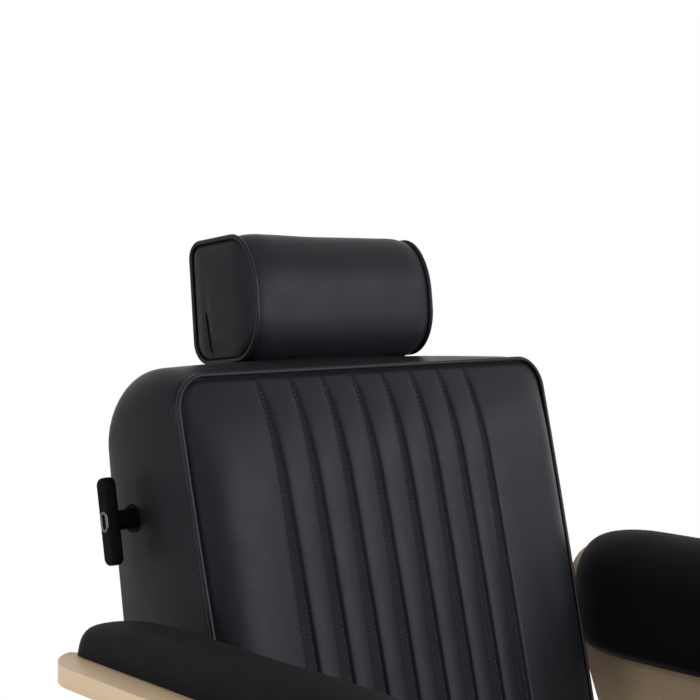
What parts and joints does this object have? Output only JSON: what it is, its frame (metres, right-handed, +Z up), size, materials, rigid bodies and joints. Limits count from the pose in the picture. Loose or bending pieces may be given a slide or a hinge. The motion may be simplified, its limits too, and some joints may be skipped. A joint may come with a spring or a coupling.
{
  "type": "barber chair",
  "caption": "Reclining barber chair on a pump column, with a channelled piped back, sliding headrest, bent plywood arms with pads and a footrest.",
  "frame": {"origin": "on the floor under the middle of the column, at the underside of the base plate", "axes": "+Z up, -Y the way the sitter faces, +X to the sitter's left"},
  "size_m": [0.768, 0.9522, 1.0951],
  "materials": {
    "black_vinyl": "satin",
    "black_piping": "satin",
    "beech_ply": "satin lacquer",
    "birch_board": "bare",
    "chrome": "polished",
    "black_steel": "satin",
    "bright_steel": "brushed",
    "black_plastic": "matte",
    "rubber": "matte",
    "bronze": "turned"
  },
  "bodies": {
    "base": {"base_plate": "chrome", "base_cover": "chrome", "pump_body": "black_steel", "pump_gland": "black_plastic", "pedal_bracket": "black_steel", "pedal_pin": "bright_steel"},
    "pedal": {"pedal_lever": "chrome", "pedal_rubber": "rubber"},
    "lift": {"ram": "chrome", "swivel_bearing": "bronze"},
    "seat": {"swivel_plate": "black_steel", "cross_bar_front": "black_steel", "cross_bar_rear": "black_steel", "seat_rail_left": "black_steel", "seat_rail_right": "black_steel", "seat_board": "birch_board", "seat_cushion": "black_vinyl", "seat_piping": "black_piping", "footrest_tube_left": "chrome", "footrest_tube_right": "chrome", "footrest_plate": "black_steel", "footrest_tread": "rubber", "arm_shell_left": "beech_ply", "arm_shell_right": "beech_ply", "arm_pad_left": "black_vinyl", "arm_pad_right": "black_vinyl", "arm_bracket_left": "black_steel", "arm_bracket_right": "black_steel", "arm_bolt_front_left": "bright_steel", "arm_bolt_front_right": "bright_steel", "arm_bolt_rear_left": "bright_steel", "arm_bolt_rear_right": "bright_steel", "hinge_bracket_left": "black_steel", "hinge_bracket_right": "black_steel", "hinge_bush_left": "bronze", "hinge_bush_right": "bronze", "gas_anchor": "black_steel", "gas_cylinder": "black_steel", "gas_pin_front": "bright_steel"},
    "gas_rod_set": {"gas_rod": "chrome", "gas_pin_rear": "bright_steel"},
    "back": {"recline_shaft": "bright_steel", "recline_lever": "black_steel", "back_arm_left": "black_steel", "back_arm_right": "black_steel", "back_board": "birch_board", "back_rear_panel": "black_vinyl", "back_boxing": "black_vinyl", "back_front_panel": "black_vinyl", "back_piping": "black_piping", "headrest_sleeve": "bright_steel", "handle_bush": "black_plastic"},
    "handle": {"handle_stem": "black_plastic", "handle_grip": "black_plastic", "handle_cap": "bright_steel"},
    "headrest": {"headrest_post": "chrome", "headrest_board": "birch_board", "headrest_cushion": "black_vinyl", "headrest_piping_left": "black_piping", "headrest_piping_right": "black_piping"}
  },
  "joints": [
    {"name": "seat_lift", "type": "slide", "parent": "base", "child": "lift", "axis": [0, 0, 1], "range_m": [0, 0.16]},
    {"name": "seat_swivel", "type": "hinge", "parent": "lift", "child": "seat", "pos_m": [0, 0, 0.3502], "axis": [0, 0, 1], "continuous": true},
    {"name": "back_recline", "type": "hinge", "parent": "seat", "child": "back", "pos_m": [0, 0.3, 0.4403], "axis": [-1, 0, 0], "range_deg": [0, 45]},
    {"name": "gas_stroke", "type": "slide", "parent": "seat", "child": "gas_rod_set", "axis": [0, -1, 0], "range_m": [0, 0.0835]},
    {"name": "headrest_height", "type": "slide", "parent": "back", "child": "headrest", "axis": [0, 0.0976, 0.9952], "range_m": [0, 0.1]},
    {"name": "handle_turn", "type": "hinge", "parent": "back", "child": "handle", "pos_m": [-0.25, 0.36666, 0.83009], "axis": [1, 0, 0], "range_deg": [0, 40], "stiffness_Nm_per_rad": 0.6},
    {"name": "pump_pedal", "type": "hinge", "parent": "base", "child": "pedal", "pos_m": [0, 0.087, 0.1323], "axis": [-1, 0, 0], "range_deg": [0, 18], "stiffness_Nm_per_rad": 8, "springref_deg": -8.59}
  ],
  "couplings": [
    {"joint": "gas_stroke", "follows": "back_recline", "m_per_rad": 0.10548}
  ]
}
